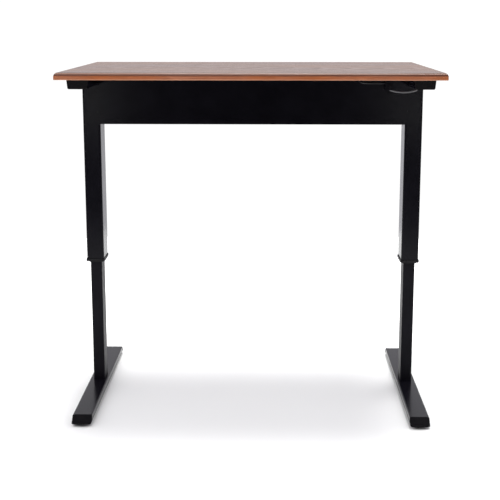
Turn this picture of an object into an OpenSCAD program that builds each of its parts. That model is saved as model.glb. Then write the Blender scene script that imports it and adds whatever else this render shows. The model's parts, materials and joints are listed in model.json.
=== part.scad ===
// Height adjustable standing desk: a wood-look top on two gas-spring lifting columns.
// Millimetres. Origin on the floor under the middle of the top, +Z up, front toward -Y.
// The desk is drawn at its full height; the lift joint lowers it.

/* [Desktop] */
// Width of the top, left to right
desk_w = 1200; // [1000:10:1600]
// Depth of the top, front to back
desk_d = 750; // [600:5:900]
// Thickness of the top
top_t = 22; // [18:1:32]
// Height of the top surface at full lift
max_h = 1150; // [1100:5:1200]
// Width of the moulded strip round the top
nosing_w = 12; // [11:1:20]

/* [Lift] */
// How far the top comes down from full height
travel = 430; // [300:5:430]
// How far the outer tube still covers the inner tube at full height
overlap = 118; // [100:1:122]
// Distance from the top's side edge in to each column's middle
column_inset = 48; // [40:1:200]
// How far the columns stand behind the middle of the top
column_y = 30; // [0:5:60]

/* [Outer columns] */
// Width of the outer tube
outer_w = 60; // [56:1:74]
// Depth of the outer tube
outer_d = 90; // [84:1:100]
// Wall of the outer tube
outer_wall = 2; // [1.5:0.5:2]

/* [Inner columns] */
// Width of the inner tube
inner_w = 40; // [38:1:42]
// Depth of the inner tube
inner_d = 66; // [54:1:66]
// Wall of the inner tube
inner_wall = 2.5; // [2:0.5:3]

/* [Feet] */
// Length of each foot with its end caps
foot_len = 730; // [560:5:740]
// How far the foot's middle is behind the middle of the top
foot_y = 6; // [-20:1:40]
// Width of each foot
foot_w = 64; // [60:1:76]
// Height of the foot's tube
foot_h = 24; // [20:1:30]
// Clear height under the foot, set by the levelling glides
foot_clear = 8; // [6:1:14]

/* [Support arms] */
// How far the arm's front end stays behind the top's front edge
arm_front_inset = 90; // [60:5:160]
// How far the arm's rear end stays in front of the top's rear edge
arm_rear_inset = 35; // [20:5:120]
// Width of the arm
arm_w = 68; // [62:1:76]
// Height of the arm
arm_h = 34; // [30:1:40]

/* [Crossbar] */
// Height of the crossbar's front panel
apron_h = 171; // [130:1:210]
// How far the front panel laps over each column's front
apron_lap = 16; // [14:1:20]

/* [Release lever] */
// Distance from the top's right edge in to the lever's pivot
lever_inset_x = 172; // [150:1:400]
// Distance from the top's front edge back to the lever's middle
lever_inset_y = 49; // [40:1:60]
// Length of the lever's bow
lever_span = 84; // [60:1:100]

/* [Hidden] */
$fn = 48;

// colours
board_col = [0.18, 0.15, 0.13];
laminate_col = [0.46, 0.31, 0.23];
nosing_col = [0.62, 0.37, 0.25];
frame_col = [0.07, 0.07, 0.08];
plastic_col = [0.05, 0.05, 0.055];
zinc_col = [0.62, 0.63, 0.65];
rod_col = [0.78, 0.79, 0.81];
alu_col = [0.70, 0.71, 0.73];

// fits
fit = 0.05;
slide_gap = 0.3;
park_gap = 3;
cut = 1;

// heights, worked out from the top down and from the feet up
under_top = max_h - top_t;
arm_bottom = under_top - arm_h;
cap_t = 4;
outer_top = arm_bottom - cap_t;
foot_top = foot_clear + foot_h;
base_t = 6;
laminate_t = 1;

// collar at the outer tube's lower end, which stops just above the foot
collar_h = 8;
collar_proud = 3;
lip_h = 5;
lip_proud = 4.5;
sleeve_h = 40;
outer_bottom = foot_top + park_gap + travel + lip_h + collar_h;
outer_len = outer_top - outer_bottom;
inner_top = outer_bottom + overlap;

// guide on the inner tube's upper end
guide_h = 46;
guide_cap_t = 6;
guide_bottom = inner_top + guide_cap_t - guide_h;

// gas spring
rod_r = 5;
cyl_r = 12;
cyl_wall = 1.5;
cyl_bottom = foot_top + base_t;
cyl_base_t = 10;
gland_h = 12;
cyl_top = inner_top - 56;
piston_h = 15;
piston_gap = 13;
head_h = 50;
head_bottom = outer_top - head_h;
head_w = 34;
head_d = 56;
slot_w = 8;
slot_h = 22;
rod_end = head_bottom + 24;
pin_r = 2;
pin_bottom = head_bottom + 13;
pin_top = head_bottom + 34;
rocker_x = 11;
rocker_z = head_bottom + 40;
rocker_r = 2;
rocker_t = 6;

// wire rope
rope_r = 1.25;
sheave_r = 14;
small_sheave_r = 10;
sheave_t = 6;
sheave_rim = 2.5;
axle_r = 4;
small_axle_r = 3;
rope_y = inner_d / 2 + 5;
axle_x = 10;
sheave_z = head_bottom + 15;
small_sheave_z = guide_bottom - 20;
rope_x = axle_x - sheave_r;
rope_inner_x = rope_x + 2 * small_sheave_r;
rope_end_depth = 18;
window_z = sheave_z + sheave_r - 6;
window_h = 12;
window_w = 8;
cable_window_z = head_bottom + 18;
cable_window_h = 20;
cable_window_w = 16;

// crossbar
sheet_t = 2;
flange = 15;
apron_top = under_top - 2;
apron_bottom = apron_top - apron_h;
column_x = desk_w / 2 - column_inset;
column_inside = column_x - outer_w / 2;
column_front = column_y - outer_d / 2;
column_back = column_y + outer_d / 2;
apron_half = column_inside + apron_lap;
apron_inner = column_inside - 4;
lap_top = outer_top - 1;
apron_screw_r = 2.5;
apron_head_r = 4.5;
apron_head_h = 1.2;
apron_screw_x = column_inside + apron_lap / 2;
rear_screw_x = apron_inner - 12;
apron_screw_z = [apron_bottom + 42, lap_top - 17];

// arms
arm_shift = 7;
arm_x = column_x - arm_shift;
arm_wall = 2;
arm_cap_t = 2;
arm_plug = 12;
arm_front = desk_d / 2 - arm_front_inset;
arm_rear = desk_d / 2 - arm_rear_inset;
between_arms = arm_x - arm_w / 2 - 1;
screw_r = 3;
arm_screw_y = [-arm_front + 35, column_y - 120, column_y + 120, arm_rear - 35];

// feet
foot_x = column_x;
foot_wall = 2.5;
cap_len = 30;
lip_bow = 6;
glide_in = 64;
glide_r = 27;
stud_r = 4;
base_screw_x = inner_w / 2 - inner_wall - 6;
base_screw_y = inner_d / 2 - inner_wall - 7;
base_screw_r = 3;
base_head_r = 5;
base_head_h = 5;

// lever under the front right of the top
lever_x = desk_w / 2 - lever_inset_x;
lever_y = -desk_d / 2 + lever_inset_y;
lever_z = under_top - 24;
lever_bar_r = 2.5;
lever_pin_r = 3;
lever_drop = 7;
hub_r = 7;
bracket_w = 32;
bracket_t = 2.5;
bracket_arm = 25;
bracket_screw_x = [-10, 10];
bracket_screw_r = 2;
cable_z = lever_z + 13;
cable_y = [lever_y - 8, lever_y + 8];
cable_start_x = lever_x - bracket_w / 2;

// routes of the two release cables, from the lever to each column
cable_r = 2.5;
notch_x = lever_x - 77;
notch_w = 30;
cable_gap = 14;
cable_end_x = column_x - 21;
cable_end_z = cable_window_z + cable_window_h / 2;
high = under_top - 10;
function cable_start(y, x_turn, y_turn) = [
    [cable_start_x, y, cable_z], [cable_start_x - 17, y, cable_z],
    [x_turn + 20, y + (y_turn - y) * 0.2, cable_z - 0.5],
    [x_turn + 5, y + (y_turn - y) * 0.55, high - 2], [x_turn, y_turn, high - 2],
    [x_turn, y_turn + 60, high - 1], [x_turn, (y_turn + 60 + column_front - 40) / 2, high],
    [x_turn, column_front - 40, high]];
cable_right_route = concat(cable_start(cable_y[1], notch_x + cable_gap / 2, lever_y + 66), [
    [notch_x + 8, column_front - 3, high], [notch_x + 11, column_front + 15, high - 2],
    [notch_x + 21, column_y - 12, high - 10], [notch_x + 41, column_y - 2, high - 26],
    [notch_x + 69, column_y, cable_end_z + 10], [notch_x + 105, column_y, cable_end_z + 2],
    [(notch_x + 105 + cable_end_x) / 2, column_y, cable_end_z], [cable_end_x, column_y, cable_end_z]]);
cable_left_route = concat(cable_start(cable_y[0], notch_x - cable_gap / 2, lever_y + 46), [
    [notch_x - 9, column_front - 3, high], [notch_x - 15, column_front + 15, high - 2],
    [notch_x - 33, column_y - 14, high - 10], [notch_x - 63, column_y - 4, high - 26],
    [notch_x - 111, column_y, cable_end_z + 10], [notch_x - 171, column_y, cable_end_z + 2],
    [notch_x - 261, column_y, cable_end_z], [0, column_y, cable_end_z - 1],
    [-column_x * 0.25, column_y, cable_end_z - 1], [-column_x * 0.5, column_y, cable_end_z - 1],
    [-column_x * 0.75, column_y, cable_end_z], [-cable_end_x + 31, column_y, cable_end_z],
    [-cable_end_x, column_y, cable_end_z]]);

// ---- helpers ----

// outline of a rectangle with round corners, centred on the origin
function round_rect(w, d, r, steps = 5) = [
    for (corner = [0 : 3], i = [0 : steps])
        let (a = corner * 90 + i * 90 / steps,
             cx = (corner == 0 || corner == 3 ? 1 : -1) * (w / 2 - r),
             cy = (corner < 2 ? 1 : -1) * (d / 2 - r))
        [cx + r * cos(a), cy + r * sin(a)]];

// a straight tube along Z
module box_tube(w, d, r, wall, h) {
    linear_extrude(h) difference() {
        polygon(round_rect(w, d, r));
        polygon(round_rect(w - 2 * wall, d - 2 * wall, max(r - wall, 0.5)));
    }
}

module block(x, y, z, sx, sy, sz) {
    translate([x, y, z]) cube([sx, sy, sz]);
}

// a rod from [x, y, z] along Y
module y_rod(x, y, z, r, len) {
    translate([x, y, z]) rotate([-90, 0, 0]) cylinder(r = r, h = len);
}

// the left column's pieces are drawn about its middle; side = -1 left, 1 right
module at_column(side) {
    translate([side * column_x, column_y, 0]) rotate([0, 0, side < 0 ? 0 : 180]) children();
}

// ---- desktop ----

screw_bite = 12;
bracket_bite = 10;

module arm_screw_places() {
    for (side = [-1, 1], y = arm_screw_y)
        translate([side * arm_x, y, 0]) children();
}

module desktop_board() {
    color(board_col) difference() {
        block(-desk_w / 2 + nosing_w, -desk_d / 2 + nosing_w, under_top,
            desk_w - 2 * nosing_w, desk_d - 2 * nosing_w, top_t - laminate_t);
        arm_screw_places() translate([0, 0, under_top - cut])
            cylinder(r = screw_r + fit, h = screw_bite + 1 + cut);
        for (x = bracket_screw_x) translate([lever_x + x, lever_y, under_top - cut])
            cylinder(r = bracket_screw_r + fit, h = bracket_bite + 1 + cut);
    }
}

// section of the nosing: x inward from the outer edge, y up from the underside
nosing_round_r = 6;
nosing_quirk = 1.5;
nosing_chamfer = 1.2;
nosing_seam = top_t - laminate_t - nosing_round_r - 1;
nosing_last_a = 100;
laminate_inset = nosing_quirk + nosing_round_r * (1 + cos(nosing_last_a));

module top_laminate() {
    color(laminate_col) block(-desk_w / 2 + laminate_inset, -desk_d / 2 + laminate_inset,
        max_h - laminate_t, desk_w - 2 * laminate_inset, desk_d - 2 * laminate_inset, laminate_t);
}

function nosing_section() = concat(
    [[nosing_w, 0], [nosing_chamfer, 0], [0, nosing_chamfer], [0, nosing_seam],
        [nosing_quirk, nosing_seam + 0.6]],
    [for (a = [180 : -10 : nosing_last_a])
        [nosing_quirk + nosing_round_r * (1 + cos(a)),
         top_t - laminate_t - nosing_round_r * (1 - sin(a))]],
    [[laminate_inset, top_t - laminate_t], [nosing_w, top_t - laminate_t]]);

// one strip, drawn with its outer edge along X at y = 0 and mitred at both ends
module nosing_strip(len) {
    intersection() {
        translate([-len / 2, 0, 0]) rotate([90, 0, 90]) linear_extrude(len)
            polygon(nosing_section());
        linear_extrude(top_t) polygon([[-len / 2, 0], [len / 2, 0],
            [len / 2 - nosing_w, nosing_w], [-len / 2 + nosing_w, nosing_w]]);
    }
}

module edge_nosing() {
    color(nosing_col) translate([0, 0, under_top]) for (turn = [0, 180]) rotate([0, 0, turn]) {
        translate([0, -desk_d / 2, 0]) nosing_strip(desk_w);
        rotate([0, 0, 90]) translate([0, -desk_w / 2, 0]) nosing_strip(desk_d);
    }
}

// ---- support arms ----

// section of an arm, a little narrower below
arm_taper = 3;
function arm_section(shrink = 0) =
    let (w = arm_w / 2 - shrink, h = arm_h - 2 * shrink, r = 5 - shrink)
    concat(
        [[w, h + shrink], [-w, h + shrink]],
        [for (i = [0 : 5]) let (a = 180 + i * 18)
            [-w + arm_taper + r + r * cos(a), shrink + r + r * sin(a)]],
        [for (i = [0 : 5]) let (a = 270 + i * 18)
            [w - arm_taper - r + r * cos(a), shrink + r + r * sin(a)]]);

module arm_shape(shrink, y0, len) {
    translate([0, y0 + len, arm_bottom]) rotate([90, 0, 0]) linear_extrude(len)
        polygon(arm_section(shrink));
}

module arm(side) {
    color(frame_col) translate([side * arm_x, 0, 0]) difference() {
        arm_shape(0, -arm_front, arm_front + arm_rear);
        arm_shape(arm_wall, -arm_front - cut, arm_front + arm_rear + 2 * cut);
        for (y = arm_screw_y) translate([0, y, arm_bottom - cut])
            cylinder(r = screw_r + fit, h = arm_h + 2 * cut);
    }
}

module arm_left() { arm(-1); }

module arm_right() { arm(1); }

// closing plugs at both ends of both arms
module arm_end_caps() {
    color(plastic_col) for (side = [-1, 1]) translate([side * arm_x, 0, 0]) {
        arm_shape(0, -arm_front - arm_cap_t, arm_cap_t);
        arm_shape(arm_wall, -arm_front, arm_plug);
        arm_shape(0, arm_rear, arm_cap_t);
        arm_shape(arm_wall, arm_rear - arm_plug, arm_plug);
    }
}

// pan head screws up through the arms into the board
module arm_screws() {
    color(zinc_col) arm_screw_places() {
        translate([0, 0, arm_bottom - 2.5]) cylinder(r = 5.5, h = 2.5);
        translate([0, 0, arm_bottom - 0.5]) cylinder(r = screw_r, h = arm_h + screw_bite);
    }
}

// ---- outer columns ----

// openings in the inside wall for the two ropes and the release cable
module column_windows(x, depth) {
    for (y = [-rope_y, rope_y])
        block(x, y - window_w / 2, window_z, depth, window_w, window_h);
    block(x, -cable_window_w / 2, cable_window_z, depth, cable_window_w, cable_window_h);
}

// drawn about the column's middle, the crossbar toward +X
module outer_column() {
    color(frame_col) difference() {
        translate([0, 0, outer_bottom]) box_tube(outer_w, outer_d, 6, outer_wall, outer_len);
        column_windows(outer_w / 2 - outer_wall - cut, outer_wall + 2 * cut);
    }
}

module outer_column_left() { at_column(-1) outer_column(); }

module outer_column_right() { at_column(1) outer_column(); }

// plates between the columns and the arms
module column_cap_plates() {
    color(frame_col) for (side = [-1, 1])
        translate([side * column_x, column_y, outer_top]) linear_extrude(cap_t)
            polygon(round_rect(outer_w, outer_d + 30, 6));
}

// plastic bushing at the lower end of an outer tube
module collar(side) {
    hole_w = inner_w + 2 * slide_gap;
    hole_d = inner_d + 2 * slide_gap;
    sleeve_w = outer_w - 2 * outer_wall;
    sleeve_d = outer_d - 2 * outer_wall;
    color(plastic_col) at_column(side) difference() {
        union() {
            translate([0, 0, outer_bottom - collar_h]) linear_extrude(collar_h)
                polygon(round_rect(outer_w + 2 * collar_proud, outer_d + 2 * collar_proud, 8));
            translate([0, 0, outer_bottom - collar_h - lip_h]) linear_extrude(lip_h + 1)
                polygon(round_rect(inner_w + 2 * lip_proud, inner_d + 2 * lip_proud, 7));
            translate([0, 0, outer_bottom - 1]) linear_extrude(sleeve_h + 1)
                polygon(round_rect(sleeve_w, sleeve_d, 4));
        }
        translate([0, 0, outer_bottom - collar_h - lip_h - 1])
            linear_extrude(sleeve_h + collar_h + lip_h + 2)
            polygon(round_rect(hole_w, hole_d, 4));
    }
}

module column_collar_left() { collar(-1); }

module column_collar_right() { collar(1); }

// ---- crossbar ----

module apron_screw_places() {
    for (side = [-1, 1], z = apron_screw_z)
        translate([side * apron_screw_x, 0, z]) children();
}

module rear_screw_places() {
    for (side = [-1, 1], z = apron_screw_z)
        translate([side * rear_screw_x, 0, z]) children();
}

// a panel of the crossbar from column to column, cut away round the arms
module panel_between_arms(y) {
    half = column_inside - fit;
    difference() {
        block(-half, y, apron_bottom, 2 * half, sheet_t, apron_h);
        for (side = [-1, 1]) translate([side * arm_x, 0, 0])
            arm_shape(-fit, y - cut, sheet_t + 2 * cut);
    }
}

// pressed front panel with return flanges between the columns
module apron_front() {
    y = column_front - sheet_t;
    color(frame_col) difference() {
        union() {
            block(-apron_half, y, apron_bottom, 2 * apron_half, sheet_t, lap_top - apron_bottom);
            panel_between_arms(y);
            block(-apron_inner, y, apron_bottom, 2 * apron_inner, flange, sheet_t);
            block(-between_arms, y, apron_top - sheet_t, 2 * between_arms, flange, sheet_t);
        }
        // bevelled lower corners
        for (side = [-1, 1])
            translate([side * apron_half, y + sheet_t / 2, apron_bottom]) rotate([0, 45, 0])
                cube([5, sheet_t + 2 * cut, 5], center = true);
        // notch for the two release cables
        block(notch_x - notch_w / 2, y - cut, apron_top - 14, notch_w, flange + 2 * cut, 14 + cut);
        apron_screw_places() {
            y_rod(0, y - cut, 0, apron_screw_r + fit, sheet_t + 2 * cut);
            y_rod(0, y - cut, 0, apron_head_r + fit, apron_head_h + cut);
        }
    }
}

// rear closing panel, fixed to the end brackets
module apron_rear() {
    y = column_back;
    color(frame_col) difference() {
        union() {
            block(-apron_inner, y - sheet_t, apron_bottom, 2 * apron_inner, sheet_t,
                lap_top - apron_bottom);
            panel_between_arms(y - sheet_t);
            block(-apron_inner, y - flange, apron_bottom, 2 * apron_inner, flange, sheet_t);
            block(-between_arms, y - flange, apron_top - sheet_t, 2 * between_arms, flange,
                sheet_t);
        }
        rear_screw_places() {
            y_rod(0, y - sheet_t - cut, 0, apron_screw_r + fit, sheet_t + 2 * cut);
            y_rod(0, y - apron_head_h, 0, apron_head_r + fit, apron_head_h + cut);
        }
    }
}

// folded brackets that tie the crossbar to the inside faces of the columns
module apron_end_brackets() {
    t = 3;
    tab = 24;
    depth = outer_d - 2 * flange - 4;
    z0 = apron_bottom + sheet_t + 2;
    tall = outer_top - z0 - 4;
    color(frame_col) for (side = [-1, 1]) translate([side * column_x, column_y, 0])
        mirror([side > 0 ? 1 : 0, 0, 0]) difference() {
        translate([outer_w / 2, 0, z0]) union() {
            block(0, -depth / 2, 0, t, depth, tall);
            block(0, outer_d / 2 - sheet_t - t, 0, tab, t, tall);
            block(0, -outer_d / 2, 0, tab, t, tall);
            block(0, depth / 2 - 1, 0, t, flange + 1, tall);
            block(0, -depth / 2 - flange, 0, t, flange + 1, tall);
        }
        column_windows(outer_w / 2 - cut, t + 2 * cut);
        for (z = apron_screw_z)
            y_rod(outer_w / 2 + 16, -outer_d, z, apron_screw_r + fit, 2 * outer_d);
    }
}

// flat head screws sunk flush: front laps to the columns, rear panel to the brackets
module apron_screws() {
    color(plastic_col) {
        apron_screw_places() {
            y_rod(0, column_front - sheet_t, 0, apron_head_r, apron_head_h);
            y_rod(0, column_front - sheet_t + 0.5, 0, apron_screw_r, sheet_t - 0.5);
        }
        rear_screw_places() {
            y_rod(0, column_back - apron_head_h, 0, apron_head_r, apron_head_h);
            y_rod(0, column_back - 4, 0, apron_screw_r, 3.5);
        }
    }
}

// ---- inner columns ----

inner_corner = 4;

module inner_column(side) {
    color(frame_col) at_column(side) translate([0, 0, foot_top])
        box_tube(inner_w, inner_d, inner_corner, inner_wall, inner_top - foot_top);
}

module inner_column_left() { inner_column(-1); }

module inner_column_right() { inner_column(1); }

// plastic guide on the inner tube's top end, sliding in the outer tube
module inner_guide(side) {
    w = outer_w - 2 * outer_wall - 2 * slide_gap;
    d = outer_d - 2 * outer_wall - 2 * slide_gap;
    color([0.85, 0.85, 0.82]) at_column(side) difference() {
        translate([0, 0, guide_bottom]) linear_extrude(guide_h) polygon(round_rect(w, d, 3.7));
        // seat on the tube, and the opening for the gas spring's rod
        translate([0, 0, guide_bottom - cut]) linear_extrude(inner_top - guide_bottom + cut)
            polygon(round_rect(inner_w, inner_d, inner_corner));
        translate([0, 0, inner_top - cut]) cylinder(r = 15, h = guide_cap_t + 2 * cut);
        // rear: passage for the running rope, and the end of the short lead
        block(rope_x - 4, rope_y - 4.5, guide_bottom - cut, 8, 10, guide_h + 2 * cut);
        translate([rope_inner_x, rope_y, guide_bottom - cut])
            cylinder(r = rope_r + 0.5, h = rope_end_depth + 1 + cut);
        // front: the end of the long lead
        translate([rope_x, -rope_y, guide_bottom + guide_h - rope_end_depth - 1])
            cylinder(r = rope_r + 0.5, h = rope_end_depth + 1 + cut);
    }
}

module inner_guide_left() { inner_guide(-1); }

module inner_guide_right() { inner_guide(1); }

// ---- feet ----

module base_screw_places() {
    for (x = [-base_screw_x, base_screw_x], y = [-base_screw_y, base_screw_y])
        translate([x, y, 0]) children();
}

module glide_places(side) {
    for (end = [-1, 1])
        translate([side * foot_x, foot_y + end * (foot_len / 2 - glide_in), 0]) children();
}

// the tube, with holes for the column's screws and for the driver that reaches them from below
module foot(side) {
    tube = foot_len - 2 * cap_len;
    color(frame_col) difference() {
        translate([side * foot_x, foot_y + tube / 2, foot_clear + foot_h / 2])
            rotate([90, 0, 0]) box_tube(foot_w, foot_h, foot_corner, foot_wall, tube);
        glide_places(side) translate([0, 0, foot_clear - cut])
            cylinder(r = nut_neck_r, h = foot_wall + 2 * cut);
        translate([side * foot_x, column_y, 0]) base_screw_places() {
            translate([0, 0, foot_top - foot_wall - cut])
                cylinder(r = base_screw_r + fit, h = foot_wall + 2 * cut);
            translate([0, 0, foot_clear - cut])
                cylinder(r = base_head_r + 1, h = foot_wall + 2 * cut);
        }
    }
}

foot_corner = 4;
nut_r = 9;
nut_neck_r = 7;
nut_h = 9;

module foot_left() { foot(-1); }

module foot_right() { foot(1); }

// plastic end cap about the foot's middle height, its toe toward -Y and its seam at y = 0
module foot_cap() {
    plug = 16;
    slope = 20;
    lip_t = 3;
    w = foot_w / 2;
    sag_r = (w * w + lip_bow * lip_bow) / (2 * lip_bow);
    translate([0, 0, -foot_h / 2]) intersection() {
        // the foot's own section, carried forward
        translate([0, 0, foot_h / 2]) rotate([90, 0, 0]) linear_extrude(cap_len)
            polygon(round_rect(foot_w, foot_h, foot_corner));
        union() {
            // sloping face down to the lip
            translate([-w, 0, 0]) rotate([90, 0, 90]) linear_extrude(foot_w)
                polygon([[0, 0], [0, foot_h], [-0.5, foot_h], [-slope, lip_t + 0.5],
                    [-slope, 0]]);
            // lip with a bowed front
            linear_extrude(lip_t) intersection() {
                translate([-w, -cap_len]) square([foot_w, cap_len]);
                translate([0, sag_r - cap_len]) circle(r = sag_r, $fn = 240);
            }
        }
    }
    translate([0, plug, 0]) rotate([90, 0, 0]) linear_extrude(plug)
        polygon(round_rect(foot_w - 2 * foot_wall, foot_h - 2 * foot_wall,
            foot_corner - foot_wall));
}

module foot_end_caps() {
    color(plastic_col) for (side = [-1, 1], end = [-1, 1])
        translate([side * foot_x, foot_y + end * (foot_len / 2 - cap_len),
            foot_clear + foot_h / 2]) rotate([0, 0, end < 0 ? 0 : 180]) foot_cap();
}

// threaded plates welded inside the inner tubes' lower ends
module column_base_plates() {
    color(frame_col) for (side = [-1, 1])
        translate([side * column_x, column_y, foot_top]) difference() {
            linear_extrude(base_t) polygon(round_rect(inner_w - 2 * inner_wall,
                inner_d - 2 * inner_wall, inner_corner - inner_wall));
            translate([0, 0, -cut]) base_screw_places()
                cylinder(r = base_screw_r + fit, h = base_t + 2 * cut);
        }
}

// socket screws up through the feet's upper walls into the columns' plates
module base_bolts() {
    color(zinc_col) for (side = [-1, 1])
        translate([side * column_x, column_y, foot_top - foot_wall]) base_screw_places() {
            difference() {
                translate([0, 0, -base_head_h]) cylinder(r = base_head_r, h = base_head_h);
                translate([0, 0, -base_head_h - cut]) cylinder(r = 2.5, h = 3.5, $fn = 6);
            }
            translate([0, 0, -0.5]) cylinder(r = base_screw_r, h = foot_wall + base_t);
        }
}

// threaded inserts in the feet for the levelling glides
module glide_nuts() {
    color(zinc_col) for (side = [-1, 1]) glide_places(side) difference() {
        union() {
            translate([0, 0, foot_clear + foot_wall]) cylinder(r = nut_r, h = nut_h);
            translate([0, 0, foot_clear]) cylinder(r = nut_neck_r, h = foot_wall + 0.5);
        }
        translate([0, 0, foot_clear - cut])
            cylinder(r = stud_r + fit, h = foot_wall + nut_h + 2 * cut);
    }
}

// a levelling glide: plastic foot on a threaded stud
module glide(side, end) {
    translate([side * foot_x, foot_y + end * (foot_len / 2 - glide_in), 0]) {
        color(plastic_col) union() {
            rotate_extrude() polygon([[0, 0], [glide_r - 1.5, 0], [glide_r, 1.5], [glide_r, 4.5],
                [glide_r - 3, foot_clear - 0.4], [0, foot_clear - 0.4]]);
            translate([0, 0, foot_clear - 1]) cylinder(r = stud_r, h = 15);
        }
    }
}

module glide_front_left() { glide(-1, -1); }

module glide_front_right() { glide(1, -1); }

module glide_rear_left() { glide(-1, 1); }

module glide_rear_right() { glide(1, 1); }

// ---- gas springs ----

module gas_cylinder(side) {
    color(plastic_col) at_column(side) difference() {
        translate([0, 0, cyl_bottom]) cylinder(r = cyl_r, h = cyl_top - cyl_bottom);
        translate([0, 0, cyl_bottom + cyl_base_t])
            cylinder(r = cyl_r - cyl_wall, h = cyl_top - gland_h - cyl_bottom - cyl_base_t);
        translate([0, 0, cyl_top - gland_h - cut])
            cylinder(r = rod_r + fit, h = gland_h + 2 * cut);
    }
}

module gas_cylinder_left() { gas_cylinder(-1); }

module gas_cylinder_right() { gas_cylinder(1); }

module gas_rod(side) {
    rod_bottom = cyl_top - gland_h - piston_gap - piston_h;
    color(rod_col) at_column(side) difference() {
        union() {
            translate([0, 0, rod_bottom]) cylinder(r = cyl_r - cyl_wall - fit, h = piston_h);
            translate([0, 0, rod_bottom]) cylinder(r = rod_r, h = rod_end - rod_bottom);
        }
        translate([0, 0, pin_bottom - 3]) cylinder(r = pin_r + fit, h = rod_end - pin_bottom + 3 + cut);
    }
}

module gas_rod_left() { gas_rod(-1); }

module gas_rod_right() { gas_rod(1); }

// block that ties the rod to the cap plate and carries the rocker and the sheave axle
module release_head(side) {
    color(alu_col) at_column(side) difference() {
        block(-head_w / 2, -head_d / 2, head_bottom, head_w, head_d, head_h);
        translate([0, 0, head_bottom - cut]) cylinder(r = rod_r, h = rod_end - head_bottom + cut);
        block(-9, -slot_w / 2, rod_end, head_w, slot_w, slot_h);
        y_rod(rocker_x, -head_d, rocker_z, rocker_r + fit, 2 * head_d);
        y_rod(axle_x, -head_d, sheave_z, axle_r, 2 * head_d);
    }
}

module release_head_left() { release_head(-1); }

module release_head_right() { release_head(1); }

module release_pin(side) {
    color(rod_col) at_column(side) translate([0, 0, pin_bottom])
        cylinder(r = pin_r, h = pin_top - pin_bottom);
}

module release_pin_left() { release_pin(-1); }

module release_pin_right() { release_pin(1); }

// rocker that the cable pulls; its nose presses the release pin
module valve_rocker(side) {
    x = rocker_x;
    z = rocker_z;
    nose_z = pin_top + 0.5;
    color(zinc_col) at_column(side) union() {
        translate([0, rocker_t / 2, 0]) rotate([90, 0, 0]) linear_extrude(rocker_t)
            polygon([[x + 4, z + 4], [x - 3, z + 4], [-4, nose_z + 4], [-4, nose_z],
                [3, nose_z], [x - 3, z - 4], [x - 1, z - 12], [x + 4, z - 12]]);
        y_rod(x, -head_d / 2 + 2, z, rocker_r, head_d - 4);
    }
}

module valve_rocker_left() { valve_rocker(-1); }

module valve_rocker_right() { valve_rocker(1); }

// ---- levelling ropes ----

// a grooved wheel about the origin, axis along Y
module sheave(r, bore) {
    rotate([90, 0, 0]) rotate_extrude() polygon([
        [bore + fit, -sheave_t / 2], [r + sheave_rim, -sheave_t / 2],
        [r + sheave_rim, -sheave_t / 2 + 0.8], [r - rope_r - 0.4, -0.9], [r - rope_r - 0.4, 0.9],
        [r + sheave_rim, sheave_t / 2 - 0.8], [r + sheave_rim, sheave_t / 2],
        [bore + fit, sheave_t / 2]]);
}

// end = -1 is nearer this column's own front, counted from the left column
module top_sheave(side, end) {
    color(zinc_col) at_column(side) translate([axle_x, end * rope_y, sheave_z])
        sheave(sheave_r, axle_r);
}

module top_sheave_left_front() { top_sheave(-1, -1); }

module top_sheave_left_rear() { top_sheave(-1, 1); }

module top_sheave_right_front() { top_sheave(1, 1); }

module top_sheave_right_rear() { top_sheave(1, -1); }

module bottom_sheave(side) {
    color(zinc_col) at_column(side)
        translate([rope_x + small_sheave_r, rope_y, small_sheave_z])
        sheave(small_sheave_r, small_axle_r);
}

module bottom_sheave_left() { bottom_sheave(-1); }

module bottom_sheave_right() { bottom_sheave(1); }

module sheave_axles() {
    wall_y = outer_d / 2 - outer_wall;
    axle_end = sheave_t / 2 + 0.6;
    color(rod_col) for (side = [-1, 1]) at_column(side) {
        y_rod(axle_x, -rope_y - axle_end, sheave_z, axle_r, 2 * (rope_y + axle_end));
        y_rod(rope_x + small_sheave_r, rope_y - axle_end, small_sheave_z, small_axle_r,
            wall_y - rope_y + axle_end);
    }
}

// part of a ring of rope in the XZ plane, from angle a to b
module rope_arc(x, z, r, a, b) {
    translate([x, 0, z]) rotate([90, 0, 0]) rotate([0, 0, a])
        rotate_extrude(angle = b - a) translate([r, 0]) circle(r = rope_r);
}

// the stretch of one rope that stays with the lifting part, in the plane y = 0:
// over the first column's sheave, across the crossbar and down to the far bottom sheave
module rope_run() {
    x1 = -column_x + axle_x;
    x2 = column_x - axle_x;
    x3 = x2 + sheave_r - small_sheave_r;
    color(zinc_col) union() {
        rope_arc(x1, sheave_z, sheave_r, 90, 180);
        translate([x1, 0, sheave_z + sheave_r]) rotate([0, 90, 0]) cylinder(r = rope_r, h = x2 - x1);
        rope_arc(x2, sheave_z, sheave_r, 0, 90);
        translate([x2 + sheave_r, 0, small_sheave_z])
            cylinder(r = rope_r, h = sheave_z - small_sheave_z);
        rope_arc(x3, small_sheave_z, small_sheave_r, 180, 360);
    }
}

module rope_place(front) {
    translate([0, column_y, 0]) rotate([0, 0, front ? 0 : 180]) translate([0, -rope_y, 0]) children();
}

module sync_rope_front() { rope_place(true) rope_run(); }

module sync_rope_rear() { rope_place(false) rope_run(); }

// the stretches that grow and shrink as the desk moves
module rope_long_leads() {
    z0 = guide_bottom + guide_h - rope_end_depth;
    color(zinc_col) for (front = [true, false]) rope_place(front)
        translate([-column_x + rope_x, 0, z0]) cylinder(r = rope_r, h = sheave_z - z0);
}

module rope_short_leads() {
    x = column_x - axle_x + sheave_r - 2 * small_sheave_r;
    color(zinc_col) for (front = [true, false]) rope_place(front)
        translate([x, 0, small_sheave_z])
            cylinder(r = rope_r, h = guide_bottom + rope_end_depth - small_sheave_z);
}

// ---- release lever and its cables ----

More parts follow.
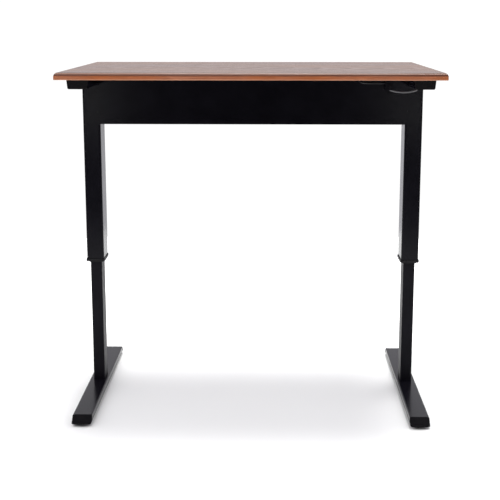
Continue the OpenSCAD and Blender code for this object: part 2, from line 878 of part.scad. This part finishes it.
// folded bracket screwed under the top
module lever_bracket() {
    half = bracket_w / 2;
    z = lever_z - 7;
    color(frame_col) difference() {
        translate([lever_x - half, lever_y - half, 0]) union() {
            block(0, 0, under_top - bracket_t, bracket_w, bracket_w, bracket_t);
            block(0, 0, z, bracket_arm, bracket_t, under_top - z);
            block(0, bracket_w - bracket_t, z, bracket_arm, bracket_t, under_top - z);
            block(0, 0, z, bracket_t, bracket_w, under_top - z);
        }
        y_rod(lever_x, lever_y - bracket_w, lever_z, lever_pin_r + fit, 2 * bracket_w);
        for (x = bracket_screw_x) translate([lever_x + x, lever_y, under_top - bracket_t - cut])
            cylinder(r = bracket_screw_r + fit, h = bracket_t + 2 * cut);
        // holes for the cables' inner wires
        for (y = cable_y) translate([cable_start_x - cut, y, cable_z]) rotate([0, 90, 0])
            cylinder(r = 1, h = bracket_t + 2 * cut);
    }
}

// bow handle: an arc of a circle from the hub to the far end
bow_half = lever_span / 2;
bow_r = 120;
bow_a = asin(bow_half / bow_r);
module release_lever() {
    hub_y = lever_y - 13;
    hub_len = 18;
    blade = 20;
    blade_t = 3;
    color(plastic_col) union() {
        difference() {
            y_rod(lever_x, hub_y, lever_z, hub_r, hub_len);
            y_rod(lever_x, lever_y - blade, lever_z, lever_pin_r + fit, 2 * blade);
        }
        // arm for the cables
        difference() {
            block(lever_x - 8, lever_y - 12, lever_z + 2, 5, 17, 17);
            y_rod(lever_x, lever_y - blade, lever_z, hub_r - 1, 2 * blade);
        }
        // bow: a bar along the front of a curved blade
        translate([lever_x + bow_half, lever_y, lever_z - lever_drop + bow_r * cos(bow_a)])
            rotate([90, 0, 0]) rotate([0, 0, 270 - bow_a]) rotate_extrude(angle = 2 * bow_a)
                translate([bow_r, 0]) union() {
                    translate([0, blade / 2]) circle(r = lever_bar_r);
                    translate([-blade_t / 2, -blade / 2]) square([blade_t, blade]);
                }
        // web from the hub to the bow
        difference() {
            hull() {
                y_rod(lever_x + 4, lever_y - 10, lever_z - 6, 2, 15);
                y_rod(lever_x + 1, lever_y - 10, lever_z - lever_drop, 1.5, 15);
            }
            y_rod(lever_x, lever_y - blade, lever_z, hub_r - 1, 2 * blade);
        }
    }
}

module lever_pin() {
    half = bracket_w / 2 + 2;
    color(rod_col) union() {
        y_rod(lever_x, lever_y - half, lever_z, lever_pin_r, 2 * half);
        for (end = [-half - 2, half]) y_rod(lever_x, lever_y + end, lever_z, 4.5, 2);
    }
}

// return spring on the pin beside the hub, drawn as closed turns of wire
module lever_spring() {
    wire_r = 0.8;
    turns = 5;
    color(rod_col) for (i = [0 : turns - 1])
        translate([lever_x, lever_y + 6.2 + i * 1.9 * wire_r, lever_z]) rotate([90, 0, 0])
            rotate_extrude() translate([lever_pin_r + 1.2, 0]) circle(r = wire_r);
}

// wood screws that hold the lever bracket
module lever_bracket_screws() {
    color(zinc_col) for (x = bracket_screw_x) translate([lever_x + x, lever_y, under_top]) {
        translate([0, 0, -bracket_t - 2]) cylinder(r = 3.5, h = 2);
        translate([0, 0, -bracket_t - 0.5])
            cylinder(r = bracket_screw_r, h = bracket_t + 0.5 + bracket_bite);
    }
}

// tube swept along a list of points, 8 sides
function unit(v) = v / norm(v);
function along(p, i) = unit(p[min(i + 1, len(p) - 1)] - p[max(i - 1, 0)]);
function ring(p, i, r) =
    let (t = along(p, i), u = unit(cross(t, abs(t[2]) < 0.9 ? [0, 0, 1] : [0, 1, 0])), v = cross(t, u))
    [for (k = [0 : 7]) p[i] + r * (cos(k * 45) * u + sin(k * 45) * v)];

module swept_tube(p, r) {
    n = len(p);
    polyhedron(
        points = [for (i = [0 : n - 1]) each ring(p, i, r)],
        faces = concat(
            [[for (k = [0 : 7]) k]],
            [for (i = [0 : n - 2], k = [0 : 7])
                [i * 8 + k, (i + 1) * 8 + k, (i + 1) * 8 + (k + 1) % 8, i * 8 + (k + 1) % 8]],
            [[for (k = [7 : -1 : 0]) (n - 1) * 8 + k]]));
}

module release_cable_left() { color(plastic_col) swept_tube(cable_left_route, cable_r); }

module release_cable_right() { color(plastic_col) swept_tube(cable_right_route, cable_r); }

desktop_board();
top_laminate();
edge_nosing();
arm_left();
arm_right();
arm_end_caps();
arm_screws();
outer_column_left();
outer_column_right();
column_cap_plates();
column_collar_left();
column_collar_right();
apron_front();
apron_rear();
apron_end_brackets();
apron_screws();
inner_column_left();
inner_column_right();
inner_guide_left();
inner_guide_right();
foot_left();
foot_right();
foot_end_caps();
column_base_plates();
base_bolts();
glide_nuts();
glide_front_left();
glide_front_right();
glide_rear_left();
glide_rear_right();
gas_cylinder_left();
gas_cylinder_right();
gas_rod_left();
gas_rod_right();
release_head_left();
release_head_right();
release_pin_left();
release_pin_right();
valve_rocker_left();
valve_rocker_right();
sheave_axles();
top_sheave_left_front();
top_sheave_left_rear();
top_sheave_right_front();
top_sheave_right_rear();
bottom_sheave_left();
bottom_sheave_right();
sync_rope_front();
sync_rope_rear();
rope_long_leads();
rope_short_leads();
lever_bracket();
lever_bracket_screws();
release_lever();
lever_pin();
lever_spring();
release_cable_left();
release_cable_right();
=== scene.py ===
# Height adjustable standing desk: materials, detail pieces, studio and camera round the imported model.
# Lengths are in metres unless a comment says otherwise.
import json
import math

import bmesh
import bpy
from mathutils import Matrix, Vector


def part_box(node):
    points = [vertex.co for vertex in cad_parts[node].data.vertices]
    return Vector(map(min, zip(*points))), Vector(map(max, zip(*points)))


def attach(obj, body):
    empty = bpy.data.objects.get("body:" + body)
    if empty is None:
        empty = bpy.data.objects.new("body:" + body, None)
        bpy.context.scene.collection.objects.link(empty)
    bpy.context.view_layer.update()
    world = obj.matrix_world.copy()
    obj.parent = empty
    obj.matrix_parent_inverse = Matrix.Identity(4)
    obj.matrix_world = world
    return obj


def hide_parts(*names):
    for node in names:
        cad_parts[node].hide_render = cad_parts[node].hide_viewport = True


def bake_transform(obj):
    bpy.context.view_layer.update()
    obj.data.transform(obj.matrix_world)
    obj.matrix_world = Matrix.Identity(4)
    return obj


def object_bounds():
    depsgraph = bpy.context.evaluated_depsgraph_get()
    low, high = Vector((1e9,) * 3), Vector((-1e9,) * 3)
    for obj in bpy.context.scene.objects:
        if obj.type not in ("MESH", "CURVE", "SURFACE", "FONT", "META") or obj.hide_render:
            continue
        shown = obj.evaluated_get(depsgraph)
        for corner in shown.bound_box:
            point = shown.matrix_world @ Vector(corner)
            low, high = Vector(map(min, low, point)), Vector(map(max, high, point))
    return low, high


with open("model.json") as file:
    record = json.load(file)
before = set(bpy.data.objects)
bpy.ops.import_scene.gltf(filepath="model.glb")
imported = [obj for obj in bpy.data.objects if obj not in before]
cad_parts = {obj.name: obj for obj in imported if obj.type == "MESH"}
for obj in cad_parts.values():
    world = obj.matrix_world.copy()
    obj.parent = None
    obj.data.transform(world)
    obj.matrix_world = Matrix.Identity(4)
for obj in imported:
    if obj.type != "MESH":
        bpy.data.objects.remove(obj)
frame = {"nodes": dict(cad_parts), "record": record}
cad_low, cad_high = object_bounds()
nodes = frame["nodes"]
scene = bpy.context.scene
MM = 0.001

# camera
CAMERA_PLACE = (0.057, -3.340, 1.318)
CAMERA_TURN = 1.11              # degrees to the left of straight ahead
CAMERA_DIP = 9.97               # degrees below level
CAMERA_SENSOR = 36.0            # mm
CAMERA_LENS = 70.11             # mm
CAMERA_SHIFT = -0.124           # keeps the upright lines nearly upright

# studio
FLOOR_RADIUS = 2.6
FLOOR_DROP = 0.0005             # keeps the floor just clear of the glides
FLOOR_DARK, FLOOR_LIGHT = (0.893, 0.897, 0.880), (0.913, 0.917, 0.900)
ROOM_TINT = (1.0, 0.99, 1.04, 1.0)
ROOM_STRENGTH = 1.15            # as it lights the desk
BACKDROP_STRENGTH = 1.05        # as the camera sees it
# name, place, target, width and height, watts
LIGHTS = (
    ("front_softbox", (-0.9, -3.2, 3.0), (0, 0, 0.9), (1.8, 1.0), 27.0),
    ("top_softbox", (0.35, 0.85, 7.0), (0, 0, 0.2), (2.8, 2.4), 620.0),
    ("strip_left", (-1.18, -3.4, 0.74), (-0.56, 0, 0.9), (0.07, 0.4), 1.3),
    ("strip_right", (1.05, -3.4, 0.74), (0.55, 0, 0.9), (0.07, 0.4), 1.2),
)

# the lever's painted highlight, a grey strip along the bow: back from its front and up from its lowest
# point
LEVER_HIGHLIGHT_DEPTH, LEVER_HIGHLIGHT_HEIGHT = 7.2 * MM, 14.5 * MM
# the moulded edge: its step, measured down from the top, and above the step where the rim is lightest
EDGE_STEP, RIM_FULL = 8.0 * MM, 6.5 * MM
PAINTED_SHADE_FADE = 3.5 * MM           # how far the painted shade reaches from the step
EDGE_HIGHLIGHT_FULL, EDGE_HIGHLIGHT_END = 1.0 * MM, 4.5 * MM      # painted highlight, up from the edge's lower corner

# how far the CAD pieces' sharp edges are rounded, in mm
SOFT_EDGES = {
    "apron_front": 0.8, "apron_rear": 0.8, "apron_end_brackets": 0.5,
    "arm_end_caps": 0.6, "foot_end_caps": 1.2,
    "column_collar_left": 0.9, "column_collar_right": 0.9,
    "column_cap_plates": 0.6, "column_base_plates": 0.8,
    "lever_bracket": 0.4, "release_lever": 0.5, "edge_nosing": 0.25,
}
BEVEL_SEGMENTS = 3
BEVEL_ANGLE = 30.0              # degrees; a flatter edge isn't rounded


# ---------------------------------------------------------------- camera
def make_camera():
    data = bpy.data.cameras.new("view_camera")
    data.sensor_width = CAMERA_SENSOR
    data.lens = CAMERA_LENS
    data.shift_y = CAMERA_SHIFT
    data.clip_start, data.clip_end = 0.05, 60.0
    camera = bpy.data.objects.new("view_camera", data)
    camera.location = CAMERA_PLACE
    turn = Matrix.Rotation(math.radians(CAMERA_TURN), 4, "Z")
    tip = Matrix.Rotation(math.radians(90 - CAMERA_DIP), 4, "X")
    camera.matrix_world = Matrix.Translation(camera.location) @ turn @ tip
    scene.collection.objects.link(camera)
    scene.camera = camera


# ---------------------------------------------------------------- node helpers
class Nodes:
    """A short way to write a node tree."""

    def __init__(self, tree):
        self.tree = tree
        tree.nodes.clear()

    def new(self, kind, **settings):
        node = self.tree.nodes.new(kind)
        for key, value in settings.items():
            setattr(node, key, value)
        return node

    def link(self, out, into):
        self.tree.links.new(out, into)

    def math(self, operation, a, b=None, c=None, clamp=False):
        node = self.new("ShaderNodeMath", operation=operation, use_clamp=clamp)
        for index, value in enumerate((a, b, c)):
            if value is None:
                continue
            if isinstance(value, (int, float)):
                node.inputs[index].default_value = value
            else:
                self.link(value, node.inputs[index])
        return node.outputs[0]

    def mix(self, factor, a, b):
        node = self.new("ShaderNodeMix", data_type="RGBA")
        for socket, value in ((node.inputs[0], factor), (node.inputs[6], a), (node.inputs[7], b)):
            if isinstance(value, (int, float)):
                socket.default_value = value
            elif isinstance(value, tuple):
                socket.default_value = (*value, 1.0)
            else:
                self.link(value, socket)
        return node.outputs[2]

    def noise(self, vector, scale, detail, rough):
        node = self.new("ShaderNodeTexNoise")
        node.inputs["Scale"].default_value = scale
        node.inputs["Detail"].default_value = detail
        node.inputs["Roughness"].default_value = rough
        self.link(vector, node.inputs["Vector"])
        return node.outputs["Fac"]

    def split(self, vector):
        node = self.new("ShaderNodeSeparateXYZ")
        self.link(vector, node.inputs[0])
        return node.outputs

    def stretch(self, vector, scale, location=(0, 0, 0)):
        node = self.new("ShaderNodeMapping")
        node.inputs["Scale"].default_value = scale
        node.inputs["Location"].default_value = location
        self.link(vector, node.inputs["Vector"])
        return node.outputs[0]

    def remap(self, value, low, high, new_low, new_high, interpolation="LINEAR"):
        """Goes from new_low to new_high as the value goes from low to high, and no further."""
        node = self.new("ShaderNodeMapRange", interpolation_type=interpolation)
        for index, limit in enumerate((low, high, new_low, new_high), start=1):
            node.inputs[index].default_value = limit
        self.link(value, node.inputs[0])
        return node.outputs[0]

    def ramp(self, factor, stops, interpolation="LINEAR"):
        """Stops are pairs of a position and a colour, or a number for grey."""
        node = self.new("ShaderNodeValToRGB")
        ramp = node.color_ramp
        ramp.interpolation = interpolation
        while len(ramp.elements) < len(stops):
            ramp.elements.new(0.5)
        for element, (position, colour) in zip(ramp.elements, stops):
            element.position = position
            rgb = colour if isinstance(colour, tuple) else (colour,) * 3
            element.color = (*rgb, 1.0)
        self.link(factor, node.inputs[0])
        return node.outputs[0]


def srgb(red, green, blue):
    """A colour given as 0 to 255 values, in the linear values Blender mixes in."""
    def one(value):
        value /= 255.0
        return value / 12.92 if value <= 0.04045 else ((value + 0.055) / 1.055) ** 2.4
    return (one(red), one(green), one(blue))


def new_material(name):
    """A material, its node tree, its shader, and a point's own place in the desk's frame."""
    material = bpy.data.materials.new(name)
    material.use_nodes = True
    tree = Nodes(material.node_tree)
    shader = tree.new("ShaderNodeBsdfPrincipled")
    out = tree.new("ShaderNodeOutputMaterial")
    tree.link(shader.outputs[0], out.inputs["Surface"])
    place = tree.new("ShaderNodeTexCoord").outputs["Object"]
    return material, tree, shader, place


def bump(tree, shader, height, strength, distance):
    node = tree.new("ShaderNodeBump")
    node.inputs["Strength"].default_value = strength
    node.inputs["Distance"].default_value = distance
    tree.link(height, node.inputs["Height"])
    tree.link(node.outputs[0], shader.inputs["Normal"])


# ---------------------------------------------------------------- materials
def powder_coat(name="powder_coat", gloss=0.16, shine=0.10):
    """Semi-gloss black powder coat with a fine orange peel."""
    material, tree, shader, place = new_material(name)
    peel = tree.noise(place, 900.0, 3.0, 0.6)
    slow = tree.noise(place, 14.0, 3.0, 0.55)
    colour = tree.ramp(slow, [(0.3, srgb(13, 12, 17)), (0.7, srgb(18, 17, 23))])
    tree.link(colour, shader.inputs["Base Color"])
    tree.link(tree.math("MULTIPLY_ADD", slow, 0.08, gloss), shader.inputs["Roughness"])
    shader.inputs["Specular IOR Level"].default_value = shine
    bump(tree, shader, peel, 0.25, 0.00012)
    return material


def black_plastic(name="black_plastic", rough_low=0.42, grain=1400.0, shine=0.2):
    """Moulded black plastic with a fine spark-eroded grain."""
    material, tree, shader, place = new_material(name)
    grain_value = tree.noise(place, grain, 4.0, 0.65)
    slow = tree.noise(place, 30.0, 3.0, 0.5)
    colour = tree.ramp(slow, [(0.3, srgb(13, 12, 15)), (0.7, srgb(20, 19, 22))])
    tree.link(colour, shader.inputs["Base Color"])
    tree.link(tree.math("MULTIPLY_ADD", grain_value, 0.14, rough_low), shader.inputs["Roughness"])
    shader.inputs["Specular IOR Level"].default_value = shine
    bump(tree, shader, grain_value, 0.35, 0.00015)
    return material


def lever_plastic():
    """Black plastic with a grey strip along the front of the bow, painted as a highlight."""
    material, tree, shader, place = new_material("lever_plastic")
    low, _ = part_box("release_lever")
    _, y, z = tree.split(place)
    in_front = tree.math("LESS_THAN", y, low.y + LEVER_HIGHLIGHT_DEPTH)
    on_bow = tree.math("LESS_THAN", z, low.z + LEVER_HIGHLIGHT_HEIGHT)
    grain_value = tree.noise(place, 900.0, 4.0, 0.65)
    black = tree.ramp(grain_value, [(0.3, srgb(14, 13, 16)), (0.7, srgb(20, 19, 22))])
    grey = tree.ramp(grain_value, [(0.3, srgb(84, 83, 86)), (0.7, srgb(96, 95, 98))])
    # painted highlight: grey only along the bow's front lower edge
    tree.link(tree.mix(tree.math("MULTIPLY", in_front, on_bow), black, grey),
              shader.inputs["Base Color"])
    tree.link(tree.math("MULTIPLY_ADD", grain_value, 0.14, 0.36), shader.inputs["Roughness"])
    shader.inputs["Specular IOR Level"].default_value = 0.3
    bump(tree, shader, grain_value, 0.35, 0.00015)
    return material


def metal(name, low, high, rough, streak=(1, 1, 1)):
    """Plated or polished metal with faint drawn streaks."""
    material, tree, shader, place = new_material(name)
    value = tree.noise(tree.stretch(place, streak), 260.0, 4.0, 0.6)
    tree.link(tree.ramp(value, [(0.3, low), (0.7, high)]), shader.inputs["Base Color"])
    tree.link(tree.math("MULTIPLY_ADD", value, 0.15, rough), shader.inputs["Roughness"])
    shader.inputs["Metallic"].default_value = 1.0
    bump(tree, shader, value, 0.1, 0.00005)
    return material


def wood_pattern(tree, grain, seed):
    """Walnut figure for a grain-space vector: x along the grain, y and z across, in metres."""
    shifted = tree.stretch(grain, (1, 1, 1), seed)
    along, across, _ = tree.split(shifted)
    # rings of a leaning trunk cut by the sheet, bent by slow noise
    bend = tree.noise(tree.stretch(shifted, (1.3, 5.0, 5.0)), 1.0, 3.0, 0.5)
    bend = tree.math("MULTIPLY_ADD", bend, 0.16, -0.08)
    side = tree.math("ADD", across, bend)
    lean = tree.math("MULTIPLY_ADD", along, 0.16, 0.09)
    radius = tree.math("SQRT", tree.math("ADD", tree.math("MULTIPLY", side, side),
                                         tree.math("MULTIPLY", lean, lean)))
    ragged = tree.noise(tree.stretch(shifted, (7.0, 90.0, 90.0)), 1.0, 5.0, 0.6)
    phase = tree.math("ADD", tree.math("MULTIPLY", radius, 62.0),
                      tree.math("MULTIPLY_ADD", ragged, 1.1, -0.55))
    rings = tree.math("FRACT", phase)
    rings = tree.ramp(rings, [(0.0, 0.25), (0.55, 0.55), (0.86, 1.0), (1.0, 0.25)], "EASE")
    # long pores and fibre streaks
    pores = tree.noise(tree.stretch(shifted, (22.0, 900.0, 900.0)), 1.0, 3.0, 0.6)
    pores = tree.ramp(pores, [(0.52, 0.0), (0.66, 1.0)])
    fibre = tree.noise(tree.stretch(shifted, (5.0, 320.0, 320.0)), 1.0, 6.0, 0.65)
    blotch = tree.noise(tree.stretch(shifted, (1.6, 9.0, 9.0)), 1.0, 4.0, 0.55)
    return rings, pores, fibre, blotch


def laminate():
    """Satin walnut-print laminate, grain from side to side."""
    material, tree, shader, place = new_material("walnut_laminate")
    rings, pores, fibre, blotch = wood_pattern(tree, place, (0.4, 0.06, 0.0))
    base = tree.ramp(fibre, [(0.3, srgb(56, 36, 27)), (0.5, srgb(80, 54, 41)),
                             (0.72, srgb(106, 77, 60))])
    base = tree.mix(tree.math("MULTIPLY", rings, 0.55), base, srgb(47, 30, 23))
    base = tree.mix(tree.math("MULTIPLY_ADD", blotch, 1.8, -0.72, clamp=True), base,
                    srgb(117, 92, 76))
    base = tree.mix(tree.math("MULTIPLY", pores, 0.6), base, srgb(32, 22, 18))
    tree.link(base, shader.inputs["Base Color"])
    # duller in the rings, blotches and pores, glossier along the lighter fibres
    dull = tree.math("ADD", tree.math("MULTIPLY_ADD", rings, 0.16, 0.20),
                     tree.math("MULTIPLY_ADD", fibre, -0.34, 0.17))
    dull = tree.math("MULTIPLY_ADD", blotch, 0.30, dull)
    tree.link(tree.math("MULTIPLY_ADD", pores, 0.2, dull), shader.inputs["Roughness"])
    shader.inputs["Specular IOR Level"].default_value = 0.42
    relief = tree.math("SUBTRACT", tree.math("ADD", fibre, tree.math("MULTIPLY", blotch, 2.0)),
                       tree.math("ADD", pores, rings))
    bump(tree, shader, relief, 0.3, 0.00025)
    return material


def nosing_wood():
    """Moulded edge: brown rim, painted shade at the step, lighter band below, painted highlight along
    the lower corner, grain along each strip.
    """
    material, tree, shader, place = new_material("edge_moulding")
    x, y, z = tree.split(place)
    # the side strips run from front to back, so x and y change places on them
    from_side = tree.math("SUBTRACT", cad_high.x, tree.math("ABSOLUTE", x))
    from_front = tree.math("SUBTRACT", cad_high.y, tree.math("ABSOLUTE", y))
    on_side = tree.math("LESS_THAN", from_side, from_front)
    turned = tree.new("ShaderNodeCombineXYZ")
    for value, socket in zip((y, x, z), turned.inputs):
        tree.link(value, socket)
    pick = tree.new("ShaderNodeMix", data_type="VECTOR")
    tree.link(on_side, pick.inputs[0])
    tree.link(place, pick.inputs[4])
    tree.link(turned.outputs[0], pick.inputs[5])
    grain = pick.outputs[1]
    rings, pores, fibre, blotch = wood_pattern(tree, grain, (0.9, 0.31, 0.2))
    light = tree.ramp(fibre, [(0.3, srgb(152, 88, 58)), (0.5, srgb(178, 110, 78)),
                              (0.72, srgb(196, 132, 100))])
    light = tree.mix(tree.math("MULTIPLY_ADD", blotch, 1.1, -0.4, clamp=True), light,
                     srgb(204, 142, 114))
    drift = tree.noise(tree.stretch(grain, (2.6, 4.0, 4.0), (3.1, 0.0, 0.0)), 1.0, 2.0, 0.5)
    light = tree.mix(tree.math("MULTIPLY_ADD", drift, 4.5, -1.9, clamp=True), light,
                     srgb(184, 96, 38))
    light = tree.mix(tree.math("MULTIPLY", rings, 0.3), light, srgb(150, 84, 48))
    # colour of the painted shade at the step
    dark = tree.ramp(fibre, [(0.3, srgb(70, 38, 26)), (0.5, srgb(90, 52, 37)),
                             (0.72, srgb(108, 66, 48))])
    # painted shade: the shadow line is darkest at the step and thins above and below it
    step = cad_high.z - EDGE_STEP
    painted_shade = tree.remap(z, step - PAINTED_SHADE_FADE, step, 0.0, 0.9)
    rim = tree.remap(z, step + PAINTED_SHADE_FADE, step + RIM_FULL, 0.0, 1.0)
    base = tree.mix(painted_shade, light, dark)
    base = tree.mix(rim, base, srgb(126, 92, 74))
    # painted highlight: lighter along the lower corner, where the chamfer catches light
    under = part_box("edge_nosing")[0].z
    painted_edge_highlight = tree.remap(z, under + EDGE_HIGHLIGHT_FULL, under + EDGE_HIGHLIGHT_END, 0.45, 0.0)
    base = tree.mix(painted_edge_highlight, base, srgb(222, 168, 136))
    base = tree.mix(tree.math("MULTIPLY", pores, 0.35), base, srgb(84, 50, 36))
    tree.link(base, shader.inputs["Base Color"])
    tree.link(tree.math("MULTIPLY_ADD", pores, 0.1, 0.34), shader.inputs["Roughness"])
    shader.inputs["Specular IOR Level"].default_value = 0.4
    bump(tree, shader, tree.math("SUBTRACT", fibre, pores), 0.15, 0.0001)
    return material


def backing_sheet():
    """Dark brown melamine backing under the board, with a fine pressed texture."""
    material, tree, shader, place = new_material("backing_sheet")
    fleck = tree.noise(tree.stretch(place, (0.4, 1.0, 1.0)), 700.0, 4.0, 0.65)
    slow = tree.noise(place, 9.0, 4.0, 0.6)
    colour = tree.ramp(tree.math("MULTIPLY_ADD", slow, 0.5, tree.math("MULTIPLY", fleck, 0.5)),
                       [(0.3, srgb(34, 28, 24)), (0.5, srgb(44, 37, 32)), (0.7, srgb(56, 48, 42))])
    tree.link(colour, shader.inputs["Base Color"])
    tree.link(tree.math("MULTIPLY_ADD", fleck, 0.15, 0.5), shader.inputs["Roughness"])
    shader.inputs["Specular IOR Level"].default_value = 0.3
    bump(tree, shader, fleck, 0.2, 0.0002)
    return material


def slippery_plastic():
    """Pale sliding plastic of the guides inside the columns."""
    material, tree, shader, place = new_material("guide_plastic")
    value = tree.noise(place, 60.0, 4.0, 0.5)
    tree.link(tree.ramp(value, [(0.3, srgb(205, 203, 192)), (0.7, srgb(222, 220, 212))]),
              shader.inputs["Base Color"])
    shader.inputs["Roughness"].default_value = 0.45
    bump(tree, shader, value, 0.1, 0.0002)
    return material


def assign_materials():
    """Gives each CAD piece its slot's material, and a few pieces one of their own."""
    looks = {
        "powder_coat": powder_coat(),
        "black_plastic": black_plastic(),
        "black_screw": black_plastic("black_oxide", 0.2, 700.0, 0.1),
        "black_enamel": black_plastic("cylinder_enamel", 0.2, 300.0),
        "laminate": laminate(),
        "nosing": nosing_wood(),
        "board": backing_sheet(),
        "white_plastic": slippery_plastic(),
        "zinc": metal("zinc_plate", srgb(150, 152, 156), srgb(190, 192, 196), 0.28),
        "polished_steel": metal("polished_steel", srgb(190, 192, 196), srgb(214, 216, 220), 0.1,
                                (1, 1, 0.05)),
        "cast_alloy": metal("cast_alloy", srgb(150, 151, 154), srgb(178, 180, 184), 0.42),
    }
    slot_of = {part["node"]: part["material_slot"] for part in frame["record"]["subparts"]}
    for name, obj in nodes.items():
        for slot in obj.material_slots:
            slot.material = looks[slot_of[name]]
    satin = powder_coat("inner_tube_coat", 0.42, 0.085)
    for name in ("inner_column_left", "inner_column_right"):
        nodes[name].material_slots[0].material = satin
    dull = black_plastic("foot_cap_plastic", 0.62, 900.0, 0.06)
    nodes["foot_end_caps"].material_slots[0].material = dull
    nodes["release_lever"].material_slots[0].material = lever_plastic()
    return looks


# ---------------------------------------------------------------- edges of the CAD pieces
def soften_edges():
    """Rounds the CAD pieces' sharp edges."""
    for name, width in SOFT_EDGES.items():
        bevel = nodes[name].modifiers.new("soft_edges", "BEVEL")
        bevel.width = width * MM
        bevel.segments = BEVEL_SEGMENTS
        bevel.limit_method = "ANGLE"
        bevel.angle_limit = math.radians(BEVEL_ANGLE)
        bevel.harden_normals = False
        bevel.use_clamp_overlap = True


# ---------------------------------------------------------------- release cables
def smooth_cable(name, look):
    """A round, evenly bent cable that follows the CAD solid's own rings."""
    form = bmesh.new()
    form.from_mesh(nodes[name].data)
    bmesh.ops.remove_doubles(form, verts=form.verts, dist=1e-6)
    bmesh.ops.join_triangles(form, faces=form.faces, cmp_seam=False, cmp_sharp=False,
                             cmp_uvs=False, cmp_vcols=False, cmp_materials=False,
                             angle_face_threshold=math.radians(60),
                             angle_shape_threshold=math.radians(180))
    for face in form.faces:
        face.smooth = True
    mesh = bpy.data.meshes.new(name + "_sleeve")
    form.to_mesh(mesh)
    form.free()
    cable = bpy.data.objects.new(name + "_sleeve", mesh)
    scene.collection.objects.link(cable)
    rounder = cable.modifiers.new("round", "SUBSURF")
    rounder.levels = rounder.render_levels = 2
    mesh.materials.append(look)
    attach(cable, "upper")
    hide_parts(name)


# ---------------------------------------------------------------- rope ends
def rope_leads(name, look):
    """Straight rope ends between the two sliding bodies, copied in place of the CAD piece."""
    mesh = nodes[name].data.copy()
    mesh.name = name + "_wire"
    lead = bpy.data.objects.new(name + "_wire", mesh)
    scene.collection.objects.link(lead)
    for slot in lead.material_slots:
        slot.material = look
    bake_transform(lead)
    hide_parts(name)


# ---------------------------------------------------------------- studio
def make_world():
    """White behind, beside and above the desk, dim in front, as in a white cove seen from outside."""
    world = bpy.data.worlds.new("studio")
    world.use_nodes = True
    tree = Nodes(world.node_tree)
    _, y, z = tree.split(tree.new("ShaderNodeTexCoord").outputs["Generated"])
    wall = tree.remap(y, -0.55, 0.15, 0.03, 1.0, "SMOOTHSTEP")
    roof = tree.remap(z, 0.25, 0.75, 0.0, 1.0, "SMOOTHSTEP")
    level = tree.math("MAXIMUM", wall, roof)
    room = tree.new("ShaderNodeBackground")
    room.inputs["Color"].default_value = ROOM_TINT
    tree.link(tree.math("MULTIPLY", level, ROOM_STRENGTH), room.inputs["Strength"])
    backdrop = tree.new("ShaderNodeBackground")
    backdrop.inputs["Color"].default_value = (1.0, 1.0, 1.0, 1.0)
    backdrop.inputs["Strength"].default_value = BACKDROP_STRENGTH
    choose = tree.new("ShaderNodeMixShader")
    tree.link(tree.new("ShaderNodeLightPath").outputs["Is Camera Ray"], choose.inputs[0])
    tree.link(room.outputs[0], choose.inputs[1])
    tree.link(backdrop.outputs[0], choose.inputs[2])
    out = tree.new("ShaderNodeOutputWorld")
    tree.link(choose.outputs[0], out.inputs["Surface"])
    scene.world = world


def make_floor():
    mesh = bpy.data.meshes.new("studio_floor")
    form = bmesh.new()
    bmesh.ops.create_circle(form, cap_ends=True, segments=128, radius=FLOOR_RADIUS)
    form.to_mesh(mesh)
    form.free()
    floor = bpy.data.objects.new("studio_floor", mesh)
    floor.location.z = cad_low.z - FLOOR_DROP
    scene.collection.objects.link(floor)
    material, tree, shader, place = new_material("floor_paper")
    value = tree.noise(place, 3.0, 2.0, 0.5)
    colour = tree.ramp(value, [(0.0, FLOOR_DARK), (1.0, FLOOR_LIGHT)])
    tree.link(colour, shader.inputs["Base Color"])
    shader.inputs["Roughness"].default_value = 0.7
    shader.inputs["Specular IOR Level"].default_value = 0.1
    mesh.materials.append(material)


def make_lights():
    for name, place, target, size, watts in LIGHTS:
        data = bpy.data.lights.new(name, "AREA")
        data.shape = "RECTANGLE"
        data.size, data.size_y = size
        data.energy = watts
        lamp = bpy.data.objects.new(name, data)
        lamp.location = place
        aim = Vector(target) - Vector(place)
        lamp.rotation_euler = aim.to_track_quat("-Z", "Y").to_euler()
        scene.collection.objects.link(lamp)
        lamp.visible_camera = False


scene.view_settings.view_transform = "Standard"
scene.view_settings.look = "None"
make_camera()
looks = assign_materials()
soften_edges()
for cable_name in ("release_cable_left", "release_cable_right"):
    smooth_cable(cable_name, looks["black_plastic"])
rope_leads("rope_long_leads", looks["zinc"])
rope_leads("rope_short_leads", looks["zinc"])
make_world()
make_floor()
make_lights()
